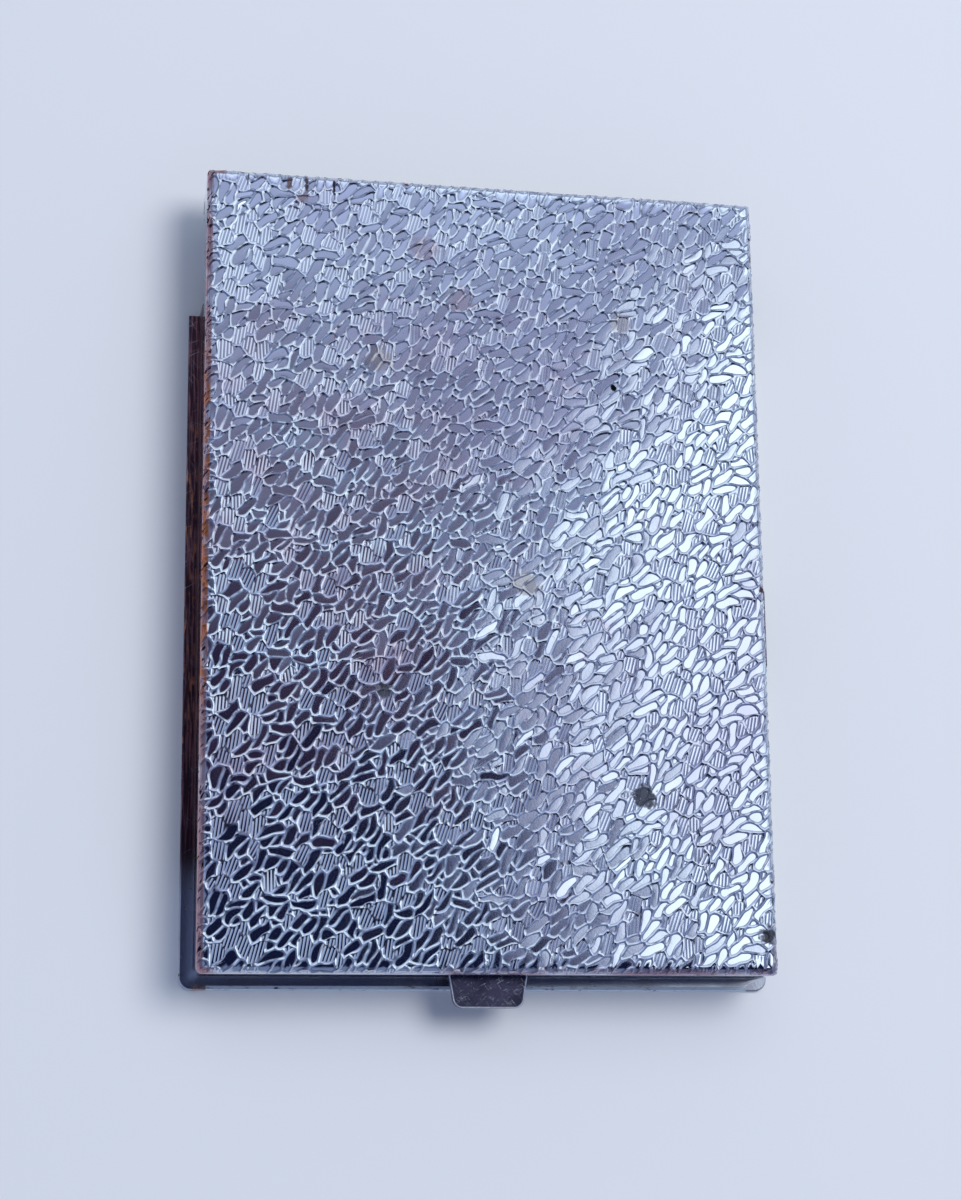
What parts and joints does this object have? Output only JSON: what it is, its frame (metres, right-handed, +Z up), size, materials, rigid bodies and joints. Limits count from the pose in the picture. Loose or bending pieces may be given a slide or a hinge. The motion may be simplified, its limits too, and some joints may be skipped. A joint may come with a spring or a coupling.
{
  "type": "pop up telephone index",
  "caption": "Flat sheet-metal pop-up index: hinged lid with a crackle-embossed top, side letter slide, thumb release tab and stepped card leaves on binder rings.",
  "frame": {"origin": "on the underside of the base plate, below the middle of the lid", "axes": "+X to the user's right, +Y back towards the hinge, +Z up; the thumb tab is at -Y and the letter slide at +X"},
  "size_m": [0.0726, 0.1025, 0.0097],
  "materials": {
    "embossed_chrome": "crackle-embossed bright chrome plate, slightly tarnished",
    "plain_chrome": "smooth chrome plate over steel, worn coppery along the edges",
    "worn_chrome": "chrome plate dulled by handling, fine scratches",
    "steel_strip": "plain zinc-bright strip steel",
    "turned_steel": "turned steel",
    "spring_wire": "drawn spring wire",
    "leaf_card": "smooth ivory index card",
    "liner_card": "ivory lining card",
    "scale_card": "printed letter strip"
  },
  "bodies": {
    "base": {"base_plate": "plain_chrome", "wall_frame": "plain_chrome", "letter_scale": "scale_card", "page_bed": "steel_strip", "bed_spacer_rivets": "turned_steel", "base_rivets": "turned_steel", "hinge_bracket": "steel_strip", "hinge_pin_left": "turned_steel", "hinge_pin_right": "turned_steel", "hinge_spring_left": "spring_wire", "hinge_spring_right": "spring_wire", "binder_bar": "steel_strip", "binder_ring_left": "spring_wire", "binder_ring_right": "spring_wire", "lever_bracket": "steel_strip", "lever_pin": "turned_steel", "lever_spacer": "turned_steel", "leaf_mn": "leaf_card", "leaf_op": "leaf_card", "leaf_qr": "leaf_card", "leaf_st": "leaf_card", "leaf_uv": "leaf_card", "leaf_wx": "leaf_card", "leaf_yz": "leaf_card"},
    "lid": {"lid_shell": "embossed_chrome", "lid_catch": "steel_strip", "lid_liner": "liner_card", "selector_rail": "steel_strip"},
    "selector": {"selector_carriage": "steel_strip", "selector_knob": "worn_chrome"},
    "lever": {"release_lever": "worn_chrome", "lever_spring": "spring_wire"},
    "leaf_ab": {"leaf_ab": "leaf_card"},
    "leaf_cd": {"leaf_cd": "leaf_card"},
    "leaf_ef": {"leaf_ef": "leaf_card"},
    "leaf_gh": {"leaf_gh": "leaf_card"},
    "leaf_ij": {"leaf_ij": "leaf_card"},
    "leaf_kl": {"leaf_kl": "leaf_card"}
  },
  "joints": [
    {"name": "lid_hinge", "type": "hinge", "parent": "base", "child": "lid", "pos_m": [0, 0.0458, 0.0052], "axis": [-1, 0, 0], "range_deg": [0, 100]},
    {"name": "letter_slide", "type": "slide", "parent": "lid", "child": "selector", "axis": [0, -1, 0], "range_m": [-0.036, 0.036]},
    {"name": "lever_press", "type": "hinge", "parent": "base", "child": "lever", "pos_m": [0, -0.0472, 0.004], "axis": [1, 0, 0], "range_deg": [0, 12], "stiffness_Nm_per_rad": 0.003, "springref_deg": -8.59},
    {"name": "leaf_ab_hinge", "type": "hinge", "parent": "base", "child": "leaf_ab", "pos_m": [0, 0.0425, 0.0049], "axis": [-1, 0, 0], "range_deg": [0, 104]},
    {"name": "leaf_cd_hinge", "type": "hinge", "parent": "base", "child": "leaf_cd", "pos_m": [0, 0.0425, 0.0049], "axis": [-1, 0, 0], "range_deg": [0, 104]},
    {"name": "leaf_ef_hinge", "type": "hinge", "parent": "base", "child": "leaf_ef", "pos_m": [0, 0.0425, 0.0049], "axis": [-1, 0, 0], "range_deg": [0, 104]},
    {"name": "leaf_gh_hinge", "type": "hinge", "parent": "base", "child": "leaf_gh", "pos_m": [0, 0.0425, 0.0049], "axis": [-1, 0, 0], "range_deg": [0, 104]},
    {"name": "leaf_ij_hinge", "type": "hinge", "parent": "base", "child": "leaf_ij", "pos_m": [0, 0.0425, 0.0049], "axis": [-1, 0, 0], "range_deg": [0, 104]},
    {"name": "leaf_kl_hinge", "type": "hinge", "parent": "base", "child": "leaf_kl", "pos_m": [0, 0.0425, 0.0049], "axis": [-1, 0, 0], "range_deg": [0, 104]}
  ],
  "couplings": [
    {"joint": "leaf_ab_hinge", "follows": "lid_hinge", "ratio": 1.025},
    {"joint": "leaf_cd_hinge", "follows": "lid_hinge", "ratio": 1.024},
    {"joint": "leaf_ef_hinge", "follows": "lid_hinge", "ratio": 1.023},
    {"joint": "leaf_gh_hinge", "follows": "lid_hinge", "ratio": 1.022},
    {"joint": "leaf_ij_hinge", "follows": "lid_hinge", "ratio": 1.021},
    {"joint": "leaf_kl_hinge", "follows": "lid_hinge", "ratio": 1.02}
  ]
}
